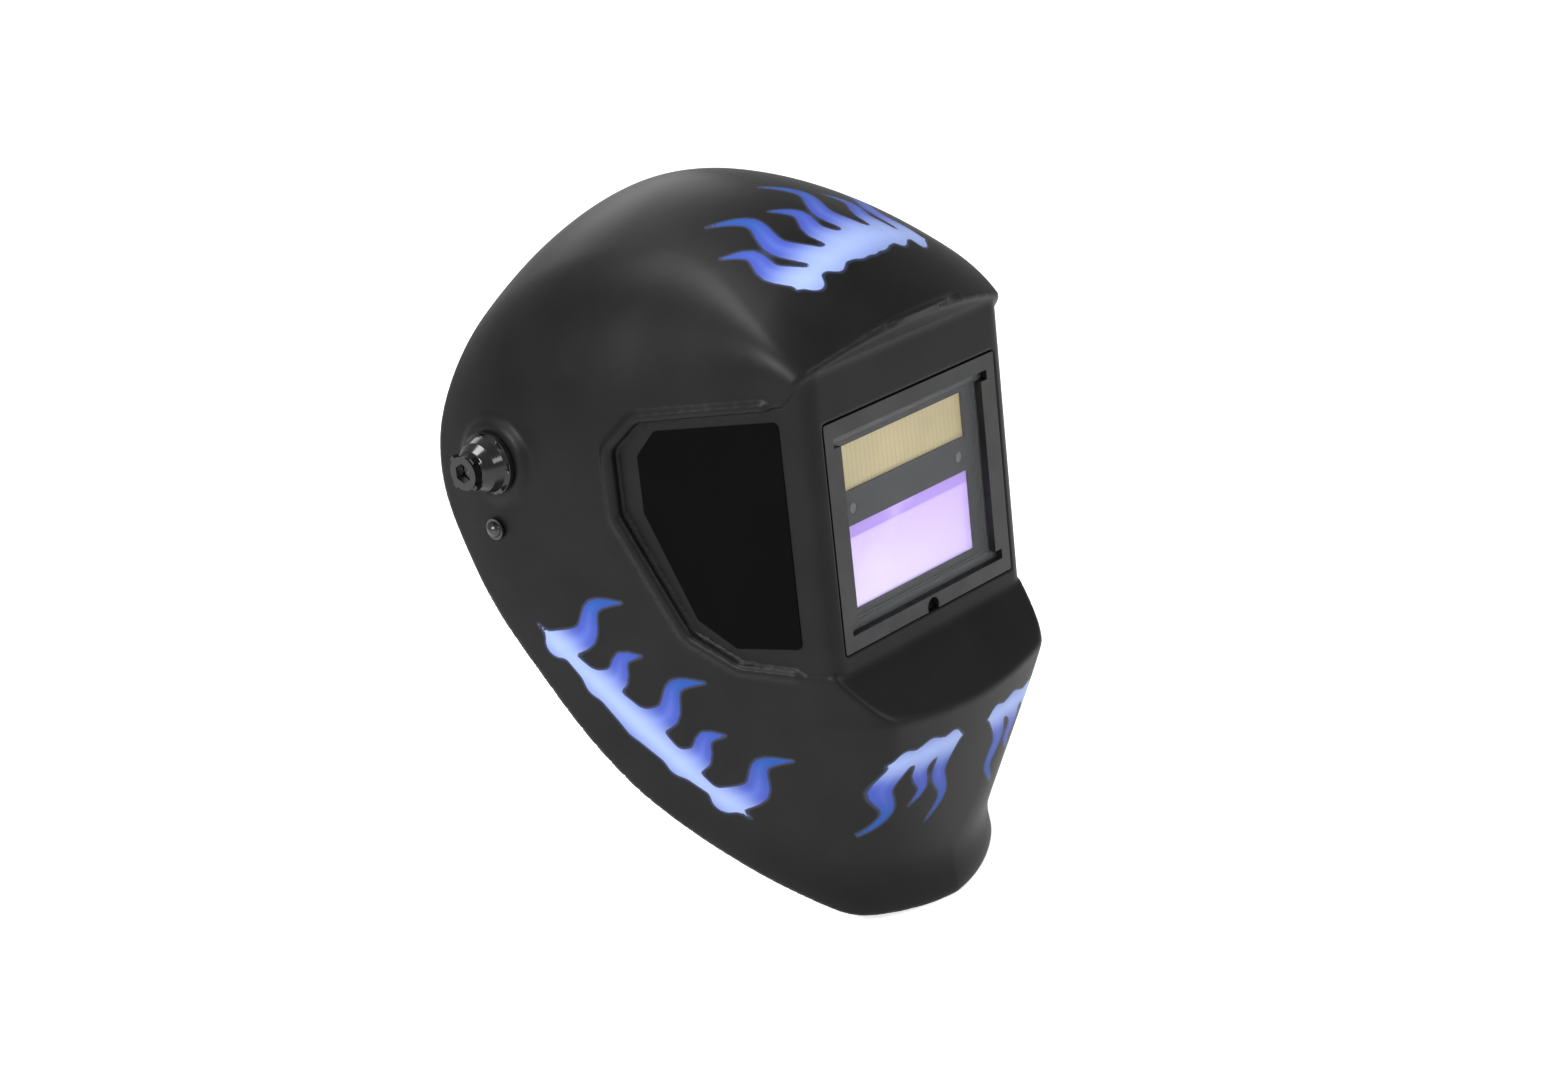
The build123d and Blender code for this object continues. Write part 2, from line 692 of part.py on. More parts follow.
def ratchet_rear_cover():
    v0 = RATCHET_FRONT_V
    v1 = RATCHET_BACK_V
    w = RATCHET_H / 2
    cover = block(-RATCHET_HALF_W, RATCHET_HALF_W, v0, v1, -w, w)
    cover = fillet(cover.edges().group_by(Axis.Y)[-1], 4.0)
    cover -= block(-RATCHET_HALF_W + 1.8, RATCHET_HALF_W - 1.8, v0 - 1, v1 - 2, -w + 1.8, w - 1.8)
    for side in (-1, 1):
        cover -= block(side * 30, side * 45, v0 - 1, v0 + 12, -BAND_H / 2 - 0.5, BAND_H / 2 + 0.5)
    for x, h in ratchet_screw_spots():
        cover -= rod_y(1.7, v1 - 6, v1 + 1, x, h)
        cover -= rod_y(3.0, v1 - 1, v1 + 1, x, h)
    cover -= rod_y(4.08, v1 - 6, v1 + 1)
    return in_band_frame(cover)


def ratchet_screws():
    v1 = RATCHET_BACK_V
    screws = []
    for x, h in ratchet_screw_spots():
        screw = rod_y(1.25, v1 - 10, v1 - 0.9, x, h) + rod_y(2.8, v1 - 0.95, v1 + 0.5, x, h)
        screws.append(in_band_frame(screw))
    return Compound(children=screws)


TAIL_REST_OUT = 29.0
TAIL_REST_IN = -17.0
TAIL_H = 18.0
TAIL_SLOT = 14.5            # half length of the slot the pinion runs in
TOOTH_PITCH = 2 * math.pi * PINION_PITCH_R / 10
RACK_LINE = PINION_PITCH_R


def band_tail(side, v0):
    """Toothed band end with its rack above (left) or below (right) the pinion."""
    v1 = v0 + TAIL_T
    tail = block(side * TAIL_REST_IN, side * TAIL_REST_OUT, v0, v1, -TAIL_H / 2, TAIL_H / 2)
    tail -= block(-TAIL_SLOT, TAIL_SLOT, v0 - 1, v0 + 3, -side * (RACK_LINE + 2.0),
                  side * (RACK_LINE + 1.4))
    base = side * (RACK_LINE + 1.5)
    tip = side * (RACK_LINE - 1.0)
    for i in range(-4, 5):
        x = i * TOOTH_PITCH
        tooth = Polyline((x - 0.95, base), (x + 0.95, base), (x + 0.35, tip), (x - 0.35, tip),
                         close=True)
        tail += Pos(0, v1, 0) * extrude(Plane.XZ * make_face(tooth), amount=TAIL_T)
    return in_band_frame(tail)


TAIL_V_LEFT = 106.2
TAIL_V_RIGHT = 109.0


def pinion():
    """Ten-tooth pinion on the ratchet knob's shaft."""
    root = PINION_PITCH_R - 1.3
    gear = Cylinder(root, 5.4)
    for i in range(10):
        tooth = Polyline((root - 0.5, -0.85), (PINION_PITCH_R + 0.9, -0.32),
                         (PINION_PITCH_R + 0.9, 0.32), (root - 0.5, 0.85), close=True)
        tooth = extrude(Pos(0, 0, -2.7) * make_face(tooth), amount=5.4)
        gear += Rot(0, 0, 36 * i) * tooth
    gear = Pos(0, 108.5, 0) * Rot(90, 0, 0) * gear
    gear -= block(-1.6, 1.6, 104, 114, -1.6, 1.6)
    return in_band_frame(gear)


KNOB_V0 = RATCHET_BACK_V + 0.5


def ratchet_knob():
    knob = rod_y(21.0, KNOB_V0, KNOB_V0 + 13)
    knob = chamfer(knob.edges().group_by(Axis.Y)[-1], 2.5)
    for i in range(12):
        a = 2 * math.pi * (i + 0.5) / 12
        knob -= rod_y(3.2, KNOB_V0 - 1, KNOB_V0 + 14, 22.6 * math.cos(a), 22.6 * math.sin(a))
    knob += rod_y(4.0, 111.3, KNOB_V0 + 1)
    knob += block(-1.5, 1.5, 104.6, 112, -1.5, 1.5)
    return in_band_frame(knob)


def detent_spring():
    """Leaf spring that clicks on the pinion, held on the front cover."""
    leaf = block(-9, 9, RATCHET_FRONT_V + 0.05, RATCHET_FRONT_V + 0.75, -15.5, -10.5)
    return in_band_frame(leaf)


def rear_pad():
    pad = block(-38, 38, 86.5, RATCHET_FRONT_V - 2.3, -19, 19)
    pad = fillet(pad.edges().filter_by(Axis.Y), 8.0)
    return in_band_frame(pad)


# ---------------------------------------------------------------- build every node
def main():
    write(helmet_shell(), "helmet_shell")
    for name, shape in zip(("side_panel_left", "side_panel_right"), left_and_right(side_panel())):
        write(shape, name)
    write(front_lens_frame(), "front_lens_frame")
    write(front_cover_lens(), "front_cover_lens")
    write(lens_gasket(), "lens_gasket")
    write(cartridge_holder(), "cartridge_holder")
    write(retainer_wires(), "retainer_wires")
    write(cartridge_front(), "cartridge_front")
    write(cartridge_rear(), "cartridge_rear")
    for name, shape in optical_stack().items():
        write(shape, name)
    write(solar_cell(), "solar_cell")
    write(arc_sensors(), "arc_sensors")
    write(control_board(), "control_board")
    write(board_parts(), "board_parts")
    write(coin_cells(), "coin_cells")
    write(dial(SHADE_X, 10.5, 5.2, 24), "shade_dial")
    write(dial(SENSE_X, 7.5, 4.4, 18), "sensitivity_dial")
    write(delay_switch(), "delay_switch")
    write(inner_cover_lens(), "inner_cover_lens")
    write(angle_stop_plate(), "angle_stop_plate")
    write(stop_stud(), "stop_stud")
    write(pivot_spacer(), "pivot_spacer")

    both_sides = {"pivot_bolt": pivot_bolt(), "friction_washer": friction_washer(),
                  "knob_washer": knob_washer(), "knob_nut": knob_nut(),
                  "tension_knob": tension_knob()}
    for name, shape in both_sides.items():
        left, right = left_and_right(shape)
        write(left, name + "_left")
        write(right, name + "_right")

    arm = side_arm()
    write(mirror(arm, about=Plane.YZ), "side_arm_left")
    write(arm, "side_arm_right")
    write(arm_rivets(), "arm_rivets")
    write(headband(), "headband")
    write(brow_pad(), "brow_pad")
    write(crown_strap(1, 0.0), "crown_strap_left")
    write(crown_strap(-1, STRAP_T + 0.3), "crown_strap_right")
    write(crown_pegs(), "crown_pegs")
    write(ratchet_front_cover(), "ratchet_front_cover")
    write(ratchet_rear_cover(), "ratchet_rear_cover")
    write(ratchet_screws(), "ratchet_screws")
    write(band_tail(1, TAIL_V_LEFT), "band_tail_left")
    write(band_tail(-1, TAIL_V_RIGHT), "band_tail_right")
    write(pinion(), "pinion")
    write(ratchet_knob(), "ratchet_knob")
    write(detent_spring(), "detent_spring")
    write(rear_pad(), "rear_pad")


main()
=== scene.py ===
import json
import math

import bmesh
import bpy
import numpy as np
from mathutils import Matrix, Vector


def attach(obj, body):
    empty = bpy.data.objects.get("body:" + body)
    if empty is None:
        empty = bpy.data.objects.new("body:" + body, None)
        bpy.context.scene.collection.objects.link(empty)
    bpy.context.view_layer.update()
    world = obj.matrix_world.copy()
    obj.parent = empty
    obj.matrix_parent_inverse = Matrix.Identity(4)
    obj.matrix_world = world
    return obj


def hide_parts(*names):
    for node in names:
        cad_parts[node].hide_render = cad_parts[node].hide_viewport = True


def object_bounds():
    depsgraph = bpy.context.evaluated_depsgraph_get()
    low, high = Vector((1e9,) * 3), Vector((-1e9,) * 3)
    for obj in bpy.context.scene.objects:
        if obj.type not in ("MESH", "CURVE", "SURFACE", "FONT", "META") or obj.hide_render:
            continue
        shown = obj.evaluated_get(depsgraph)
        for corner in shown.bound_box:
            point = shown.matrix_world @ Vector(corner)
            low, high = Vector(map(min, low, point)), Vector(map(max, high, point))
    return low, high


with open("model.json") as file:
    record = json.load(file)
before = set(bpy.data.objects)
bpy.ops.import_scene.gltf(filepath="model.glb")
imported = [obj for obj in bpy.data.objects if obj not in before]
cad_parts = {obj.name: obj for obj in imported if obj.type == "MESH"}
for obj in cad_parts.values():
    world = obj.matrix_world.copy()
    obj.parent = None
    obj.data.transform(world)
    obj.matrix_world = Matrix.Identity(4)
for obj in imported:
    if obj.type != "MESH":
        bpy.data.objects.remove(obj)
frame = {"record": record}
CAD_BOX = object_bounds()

# Welding helmet.  Work in millimetres in the shape code, metres on the meshes.
MM = 0.001


# ---------------------------------------------------------------- camera and helpers
CAMERA_AT = Vector((-1.10587, -1.07033, 0.42811))
CAMERA_AZ = math.radians(-48.18)
CAMERA_EL = math.radians(18.38)
CAMERA_ROLL = math.radians(-6.26)
CAMERA_LENS = 70.87


def make_camera():
    back = Vector((math.sin(CAMERA_AZ) * math.cos(CAMERA_EL),
                   -math.cos(CAMERA_AZ) * math.cos(CAMERA_EL), math.sin(CAMERA_EL)))
    level = Vector((math.cos(CAMERA_AZ), math.sin(CAMERA_AZ), 0.0))
    over = back.cross(level)
    c, s = math.cos(CAMERA_ROLL), math.sin(CAMERA_ROLL)
    right = level * c + over * s
    up = over * c - level * s
    data = bpy.data.cameras.new("camera")
    data.lens = CAMERA_LENS
    data.sensor_width = 36.0
    data.clip_start = 0.05
    data.clip_end = 50.0
    cam = bpy.data.objects.new("camera", data)
    axes = Matrix((right, up, back)).transposed().to_4x4()
    cam.matrix_world = Matrix.Translation(CAMERA_AT) @ axes
    bpy.context.scene.collection.objects.link(cam)
    bpy.context.scene.camera = cam


def link(obj):
    bpy.context.scene.collection.objects.link(obj)
    return obj


def area_light(name, at, look, size, power):
    data = bpy.data.lights.new(name, "AREA")
    data.shape = "RECTANGLE"
    data.size, data.size_y = size
    data.energy = power
    lamp = link(bpy.data.objects.new(name, data))
    aim = (Vector(look) - Vector(at)).to_track_quat("-Z", "Y")
    lamp.matrix_world = Matrix.Translation(at) @ aim.to_matrix().to_4x4()


make_camera()
bpy.context.scene.view_settings.view_transform = "Standard"


# ---------------------------------------------------------------- hull of the shell, in numpy
WALL = 3.0
FACE_Y, WINDOW_Z = -172.0, -35.0
RIM = np.array([(20, 130), (27, 94), (37, 60), (44, 20), (42, -5), (35, -30), (25, -55), (12, -80),
                (-8, -110), (-30, -142), (-52, -167), (-83, -195), (-116, -219), (-150, -238),
                (-171, -245), (-215, -258)], float)
SETBACK = np.array([(-75, 6), (-87, 17.5), (-164, 26.5), (-181, 46), (-260, 136), (-260, -186),
                    (-174, -92.5), (-125, -90), (-104, -78), (-75, -22)], float)
SETBACK_R = 8.0
BEAD_R = 3.0
PIVOT_OUT, PIVOT_IN, PIVOT_PAD_R, BOLT_HOLE_R = 117.2, 112.9, 18.0, 4.08


def smooth_max(a, b, k):
    h = np.maximum(k - np.abs(a - b), 0.0)
    return np.maximum(a, b) + h * h / (4 * k)


def smooth_min(a, b, k):
    return -smooth_max(-a, -b, k)


def ease(t):
    t = np.clip(t, 0.0, 1.0)
    return t * t * (3 - 2 * t)


def rim_height(y):
    lower = RIM[3:][::-1]
    return np.interp(y, lower[:, 0], lower[:, 1])


def hull_level(x, y, z):
    """Negative inside the outer hull, zero on it, roughly a distance in millimetres."""
    side_x = np.abs(x)
    up = np.maximum(z - rim_height(y), 0.0) * 0.77
    lip = 8.5 * ease((-60 - y) / 100) * np.exp(-(up / 12) ** 2)
    s = np.maximum(0.0, 20 - y)
    half = 117.5 - 0.2853 * s * s / (s + 67.7) - 4 * ease((-60 - z) / 130)
    half = half + 2.5 * ease((-120 - y) / 60) * ease((z + 20) / 60)
    side = (side_x - half - lip) / 1.03
    face = np.where(z >= -127, -200 + 12 * (z + 127) / 175, -200 + 0.31 * (-127 - z))
    face = face + (0.0012 + np.where(z < 0, 0.0008 * ease(-z / 120), 0.0)) * x * x
    front = face - lip - y
    corner = (side_x - 64.0) * 0.833 + (-192.5 - y) * 0.554 - 0.175 * (z + 127) - lip
    fall = np.where(y < -50, 0.0026, 0.0045)
    d = y + 50.0
    crown = z - (121.0 - fall * d * d - 0.0115 * side_x ** 1.8)
    crown = crown / np.sqrt(1 + (2 * fall * d) ** 2 + (0.0207 * side_x ** 0.8) ** 2)
    brow = (z - 48 - 2 * (y + 188 - 0.0012 * x * x)) / math.sqrt(5)
    top = smooth_max(crown, brow, 22.0)
    sides = smooth_max(side, top, 40 - 34 * ease((-80 - y) / 90))
    nose = smooth_max(front, corner, 6.0)
    softness = np.where(z > 0, 6.0, 10.0 + 0.70 * np.maximum(-127 - z, 0.0))
    return smooth_max(smooth_max(sides, nose, softness), y - 75, 30.0)


def polygon_level(points, u, v):
    """Signed distance to a closed 2-D outline, negative inside."""
    best = np.full(u.shape, 1e9)
    inside = np.zeros(u.shape, bool)
    for (u0, v0), (u1, v1) in zip(points, np.roll(points, -1, axis=0)):
        du, dv = u1 - u0, v1 - v0
        t = np.clip(((u - u0) * du + (v - v0) * dv) / (du * du + dv * dv), 0, 1)
        best = np.minimum(best, (u - u0 - t * du) ** 2 + (v - v0 - t * dv) ** 2)
        if dv:
            crossing = ((v0 > v) != (v1 > v)) & (u < du * (v - v0) / dv + u0)
            inside ^= crossing
    best = np.sqrt(best)
    return np.where(inside, -best, best)


def smooth_line(points, step=3.0):
    """Open Catmull-Rom curve through 2-D points, sampled about every step."""
    points = np.asarray(points, float)
    last = len(points) - 1
    out = []
    for i in range(last):
        p = points[[max(i - 1, 0), i, i + 1, min(i + 2, last)]]
        parts = max(2, int(np.hypot(*(p[2] - p[1])) / step))
        for t in np.arange(parts) / parts:
            out.append(0.5 * (2 * p[1] + (p[2] - p[0]) * t
                              + (2 * p[0] - 5 * p[1] + 4 * p[2] - p[3]) * t * t
                              + (3 * p[1] - p[0] - 3 * p[2] + p[3]) * t ** 3))
    out.append(points[-1])
    return np.array(out)


RIM_LINE = smooth_line([(16, 150)] + [tuple(p) for p in RIM[1:-1]] + [(-230, -266)], 6.0)
RIM_OUTLINE = np.vstack([RIM_LINE, [(-400, -266), (-400, 150)]])


def box_level(x, y, z, x0, x1, y0, y1, z0, z1, radius=0.0):
    """Box with edges along Y rounded."""
    u = np.abs(x - (x0 + x1) / 2) - (x1 - x0) / 2 + radius
    w = np.abs(z - (z0 + z1) / 2) - (z1 - z0) / 2 + radius
    flat = np.hypot(np.maximum(u, 0), np.maximum(w, 0)) + np.minimum(np.maximum(u, w), 0) - radius
    return np.maximum(flat, np.abs(y - (y0 + y1) / 2) - (y1 - y0) / 2)


def window_level(width, height, y0, y1, x, y, z, radius=0.0):
    return box_level(x, y, z, -width / 2, width / 2, y0, y1,
                     WINDOW_Z - height / 2, WINDOW_Z + height / 2, radius)


def window_box_level(x, y):
    """The inner box of the set-back: the window face and the two side floors."""
    side = (np.abs(x) - 78.0 - 0.215 * (y + 163.0)) / math.hypot(1, 0.215)
    return smooth_max(side, FACE_Y - y, 9.0)


def setback_level(y, z):
    return polygon_level(SETBACK, y, z) - SETBACK_R


def shell_level(x, y, z):
    """Negative inside the moulded wall."""
    hull = hull_level(x, y, z)
    setback = setback_level(y, z)
    box = window_box_level(x, y)
    outer = smooth_max(hull, smooth_min(-setback, box, 1.5), 2.5)
    bead = np.hypot(hull + 1.0, setback - 1.5) - BEAD_R
    outer = smooth_min(outer, bead + 14 * ease((-150 - y) / 22) * (z < 60), 1.2)
    side = np.abs(x)
    from_pivot = np.hypot(y, z)
    flat = ease((24.0 - from_pivot) / 6.0) * (side > 60)
    outer = outer + flat * (side - PIVOT_OUT - outer)
    inner = np.maximum(hull + WALL, np.minimum(-(setback - WALL), box + WALL))
    wall = smooth_max(outer, -inner, 0.6)
    rim = polygon_level(RIM_OUTLINE, y, z)
    wall = smooth_max(wall, rim, 2.6)
    pad = np.maximum(from_pivot - PIVOT_PAD_R, np.abs(side - 114.4) - 1.5)
    wall = smooth_min(wall, pad, 1.2)
    behind = np.maximum(np.maximum(from_pivot - PIVOT_PAD_R, side - PIVOT_IN), 106 - side)
    wall = np.maximum(wall, -behind)
    wall = np.maximum(wall, -np.maximum(from_pivot - BOLT_HOLE_R, 100 - side))
    well = window_level(140.0, 121.0, -171.0, -149.0, x, y, z, 6.0)
    wall = np.minimum(wall, well)
    frame_seat = window_level(134.4, 115.3, -173.0, -168.0, x, y, z, 1.5)
    slot = window_level(121.2, 99.4, -172.5, -165.6, x, y, z)
    pocket = window_level(128.0, 108.0, -166.0, -148.0, x, y, z)
    return np.maximum(wall, -np.minimum(np.minimum(frame_seat, slot), pocket))


GRID = 1.7               # spacing of the field that the skin is drawn from
GRID_Y = (-204.0, 50.0)
GRID_Z = (-248.0, 124.0)


def surface_net(level, step):
    """Quads on the zero surface of a left-right symmetric field."""
    half = int(122 / step) + 1
    xs = np.arange(half + 1) * step
    ys = np.arange(GRID_Y[0], GRID_Y[1] + step, step)
    zs = np.arange(GRID_Z[0], GRID_Z[1] + step, step)
    field = np.empty((len(xs), len(ys), len(zs)))
    yy, zz = np.meshgrid(ys, zs, indexing="ij")
    for i, x in enumerate(xs):
        field[i] = level(np.full(yy.shape, x), yy, zz)
    field = np.concatenate([field[:0:-1], field])
    xs = np.concatenate([-xs[:0:-1], xs])
    inside = field < 0
    total = np.zeros([n - 1 for n in field.shape] + [3])
    hits = np.zeros([n - 1 for n in field.shape])
    shape = np.array(field.shape)
    for axis in range(3):
        a = [slice(None)] * 3
        b = [slice(None)] * 3
        a[axis] = slice(0, -1)
        b[axis] = slice(1, None)
        fa, fb = field[tuple(a)], field[tuple(b)]
        cross = inside[tuple(a)] != inside[tuple(b)]
        t = np.where(cross, fa / np.where(cross, fa - fb, 1.0), 0.0)
        others = [k for k in range(3) if k != axis]
        for du in (0, 1):
            for dv in (0, 1):
                cut = [slice(None)] * 3
                cut[others[0]] = slice(du, shape[others[0]] - 1 + du)
                cut[others[1]] = slice(dv, shape[others[1]] - 1 + dv)
                here = cross[tuple(cut)]
                hits += here
                total[..., axis] += np.where(here, t[tuple(cut)], 0.0)
                total[..., others[0]] += here * du
                total[..., others[1]] += here * dv
    cells = np.argwhere(hits > 0)
    index = np.full(hits.shape, -1)
    index[tuple(cells.T)] = np.arange(len(cells))
    offset = total[tuple(cells.T)] / hits[tuple(cells.T)][:, None]
    origin = np.array([xs[0], ys[0], zs[0]])
    points = origin + (cells + offset) * step
    quads = []
    for axis in range(3):
        u, v = [(1, 2), (2, 0), (0, 1)][axis]
        a = [slice(1, -1)] * 3
        b = [slice(1, -1)] * 3
        a[axis] = slice(0, -1)
        b[axis] = slice(1, None)
        ia, ib = inside[tuple(a)], inside[tuple(b)]
        cross = np.argwhere(ia != ib)
        flip = ib[tuple(cross.T)]
        base = cross.copy()
        base[:, u] += 1
        base[:, v] += 1
        corner = []
        for du, dv in ((-1, -1), (0, -1), (0, 0), (-1, 0)):
            c = base.copy()
            c[:, u] += du
            c[:, v] += dv
            corner.append(index[tuple(c.T)])
        q = np.stack(corner, axis=1)
        q[flip] = q[flip][:, ::-1]
        quads.append(q)
    return points, np.concatenate(quads)


def gradient(level, p, h=0.25):
    g = np.empty_like(p)
    for k in range(3):
        d = np.zeros(3)
        d[k] = h
        g[:, k] = (level(*(p + d).T) - level(*(p - d).T)) / (2 * h)
    return g


def settle(level, points, rounds=4, reach=0.9):
    """Moves points onto the zero surface, each by at most reach."""
    start = points.copy()
    for _ in range(rounds):
        f = level(*points.T)
        g = gradient(level, points)
        size = np.maximum((g * g).sum(axis=1), 0.05)
        points = points - g * (f / size)[:, None]
        gone = points - start
        far = np.linalg.norm(gone, axis=1)
        over = far > reach
        points[over] = start[over] + gone[over] * (reach / far[over])[:, None]
    return points


def mesh_object(name, points, faces, body):
    data = bpy.data.meshes.new(name)
    rings = faces.tolist() if hasattr(faces, "tolist") else faces
    data.from_pydata((np.asarray(points) * MM).tolist(), [], rings)
    data.validate()
    obj = link(bpy.data.objects.new(name, data))
    data.shade_smooth()
    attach(obj, body)
    return obj


# ---------------------------------------------------------------- printed flames
# A plain pattern made by rule: rows of evenly spaced S-curved licks that rise from a base stroke.
# Each row lies in a 2-D chart of the shell and is (base start, base end, licks, reach, half width).
SIDE_ROW = ((-14, -84), (-112, -182), 5, 46.0, 8.5)        # chart (y, z), both sides
CROWN_ROW = ((60, -150), (-60, -150), 6, 58.0, 8.5)        # chart (arc across the crown, y)
CHIN_ROW = ((10, -150), (58, -150), 3, 42.0, 6.5)          # chart (|x|, z), both halves
CROWN_ARC_R = 110.0
FAR = 40.0
TIP = 0.3
# Point layers on the shell: the flame print, its painted highlight, its painted reflection tone, and the
# gloss recess.
PRINT_LAYERS = ("print_level", "print_painted_highlight", "print_painted_reflection", "recess")


def row_strokes(start, end, count, reach, width):
    """Strokes of (u, v, half width): the base, then each lick, every other one shorter."""
    start, end = np.array(start, float), np.array(end, float)
    run = end - start
    along = run / np.hypot(*run)
    rise = np.array([along[1], -along[0]])
    strokes = [[(*start, TIP), (*(start + end) / 2, width), (*end, TIP)]]
    for k in range(count):
        root = start + run * (k + 0.5) / count
        length = reach * (1.0 if k % 2 == 0 else 0.68)
        steps = ((0.0, 0.0, 0.85), (0.35, 0.16, 0.70), (0.70, 0.02, 0.40), (1.0, 0.22, 0.0))
        strokes.append([(*(root + (rise * up + along * lean) * length), max(TIP, width * wide))
                        for up, lean, wide in steps])
    return strokes, start, rise


def stroke_level(strokes, u, v, step=3.0):
    best = np.full(u.shape, FAR)
    for stroke in strokes:
        stroke = np.array(stroke, float)
        line = smooth_line(stroke[:, :2], step)
        along = np.concatenate([[0], np.cumsum(np.hypot(*np.diff(line, axis=0).T))])
        knots = [along[np.argmin(np.hypot(*(line - p).T))] for p in stroke[:, :2]]
        radius = np.interp(along, knots, stroke[:, 2])
        lick = np.full(u.shape, FAR)
        for (u0, v0), (u1, v1), r0, r1 in zip(line, line[1:], radius, radius[1:]):
            du, dv = u1 - u0, v1 - v0
            t = np.clip(((u - u0) * du + (v - v0) * dv) / (du * du + dv * dv), 0, 1)
            lick = np.minimum(lick, np.hypot(u - u0 - t * du, v - v0 - t * dv) - r0 - (r1 - r0) * t)
        best = smooth_min(best, lick, 3.0)
    return best


def flame_paint(p):
    """Signed distance to the printed flame, its painted highlight (paler along the base strokes), its
    painted reflection tone (deeper royal blue towards the tips), and the gloss recess.
    """
    x, y, z = p.T
    flame, painted_highlight, painted_reflection = np.full(len(p), FAR), np.zeros(len(p)), np.zeros(len(p))
    depth = -hull_level(x, y, z)
    outside = depth < 1.2
    recess = ease((depth - 4.0) / 2.5) * ease((y + 168.5) / 4.0)
    charts = (
        (outside & (np.abs(x) > 58) & (y > -158) & (z < -38) & (y < 24), y, z, SIDE_ROW),
        (outside & (y < -158) & (z < -128), np.abs(x), z, CHIN_ROW),
        (outside & (z > 40) & (y < -30), CROWN_ARC_R * np.arctan2(x, z), y, CROWN_ROW))
    for near, across, up, row in charts:
        u, v = across[near], up[near]
        strokes, start, rise = row_strokes(*row)
        flame[near] = stroke_level(strokes, u, v)
        climb = ((u - start[0]) * rise[0] + (v - start[1]) * rise[1]) / row[3]
        # Painted highlight: a pale band along each row's base stroke that fades away up the licks.
        painted_highlight[near] = 0.62 * ease(1 - np.abs(climb) * 2.4)
        # Painted reflection tone: the licks turn a deeper royal blue towards their tips.
        painted_reflection[near] = ease((climb - 0.35) / 0.5)
    return flame, painted_highlight, painted_reflection, recess


def make_shell():
    """The moulded skin with its print layers, which carry a painted highlight and a painted reflection tone
    on the flames, and which faces are the gloss recess.
    """
    points, quads = surface_net(shell_level, GRID)
    points = settle(shell_level, points)
    skin = mesh_object("shell_skin", points, quads, "shell")
    layers = flame_paint(points)
    for name, values in zip(PRINT_LAYERS, layers):
        layer = skin.data.attributes.new(name, "FLOAT", "POINT")
        layer.data.foreach_set("value", values.astype(np.float32))
    return skin, layers[-1][quads].min(axis=1) > 0.5


shell, in_recess = make_shell()
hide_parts("helmet_shell")


# ---------------------------------------------------------------- materials
class Paint:
    """A node material built step by step round one Principled shader."""

    def __init__(self, name, rough=0.5, metallic=0.0, alpha=1.0, specular=0.5):
        self.material = bpy.data.materials.new(name)
        self.material.use_nodes = True
        self.tree = self.material.node_tree
        self.shader = self.tree.nodes["Principled BSDF"]
        self.shader.inputs["Roughness"].default_value = rough
        self.shader.inputs["Metallic"].default_value = metallic
        self.shader.inputs["Alpha"].default_value = alpha
        self.shader.inputs["Specular IOR Level"].default_value = specular
        self.place = self.add("ShaderNodeTexCoord").outputs["Object"]

    def add(self, kind, **inputs):
        node = self.tree.nodes.new(kind)
        for key, value in inputs.items():
            socket = node.inputs[key.replace("_", " ")]
            if isinstance(value, bpy.types.NodeSocket):
                self.tree.links.new(value, socket)
            else:
                socket.default_value = value
        return node

    def to(self, socket, output):
        self.tree.links.new(output, self.shader.inputs[socket])

    def noise(self, scale, detail=3.0, rough=0.5):
        node = self.add("ShaderNodeTexNoise", Vector=self.place, Scale=scale, Detail=detail)
        node.inputs["Roughness"].default_value = rough
        return node.outputs["Fac"]

    def ramp(self, value, low, high, to_low=0.0, to_high=1.0, smooth=False):
        node = self.add("ShaderNodeMapRange", Value=value)
        node.interpolation_type = "SMOOTHSTEP" if smooth else "LINEAR"
        node.inputs["From Min"].default_value = low
        node.inputs["From Max"].default_value = high
        node.inputs["To Min"].default_value = to_low
        node.inputs["To Max"].default_value = to_high
        return node.outputs["Result"]

    def mix(self, share, a, b):
        node = self.tree.nodes.new("ShaderNodeMix")
        node.data_type = "RGBA"
        for key, value in ((0, share), (6, a), (7, b)):
            if isinstance(value, bpy.types.NodeSocket):
                self.tree.links.new(value, node.inputs[key])
            elif key:
                node.inputs[key].default_value = (*value, 1)
            else:
                node.inputs[key].default_value = value
        return node.outputs[2]

    def attribute(self, name):
        node = self.tree.nodes.new("ShaderNodeAttribute")
        node.attribute_name = name
        return node.outputs["Fac"]

    def grain(self, scale, strength, distance=0.0003, detail=4.0):
        bump = self.add("ShaderNodeBump", Height=self.noise(scale, detail), Strength=strength,
                        Distance=distance)
        self.to("Normal", bump.outputs["Normal"])
        return self


def plastic(name, colour, rough, grain=1400.0, strength=0.12, vary=0.25, specular=0.5, spread=0.08):
    paint = Paint(name, rough, specular=specular)
    cloud = paint.noise(38.0)
    light = tuple(min(1.0, c * (1 + vary)) for c in colour)
    dark = tuple(c * (1 - vary) for c in colour)
    paint.to("Base Color", paint.mix(paint.ramp(cloud, 0.3, 0.7), dark, light))
    paint.to("Roughness", paint.ramp(paint.noise(60.0), 0.3, 0.7, rough - spread, rough + spread))
    return paint.grain(grain, strength).material


def metal(name, colour, rough):
    paint = Paint(name, rough, metallic=1.0)
    streak = paint.noise(220.0, 5.0)
    paint.to("Base Color", paint.mix(streak, tuple(c * 0.8 for c in colour), colour))
    paint.to("Roughness", paint.ramp(streak, 0.3, 0.7, rough - 0.08, rough + 0.1))
    return paint.grain(900.0, 0.05).material


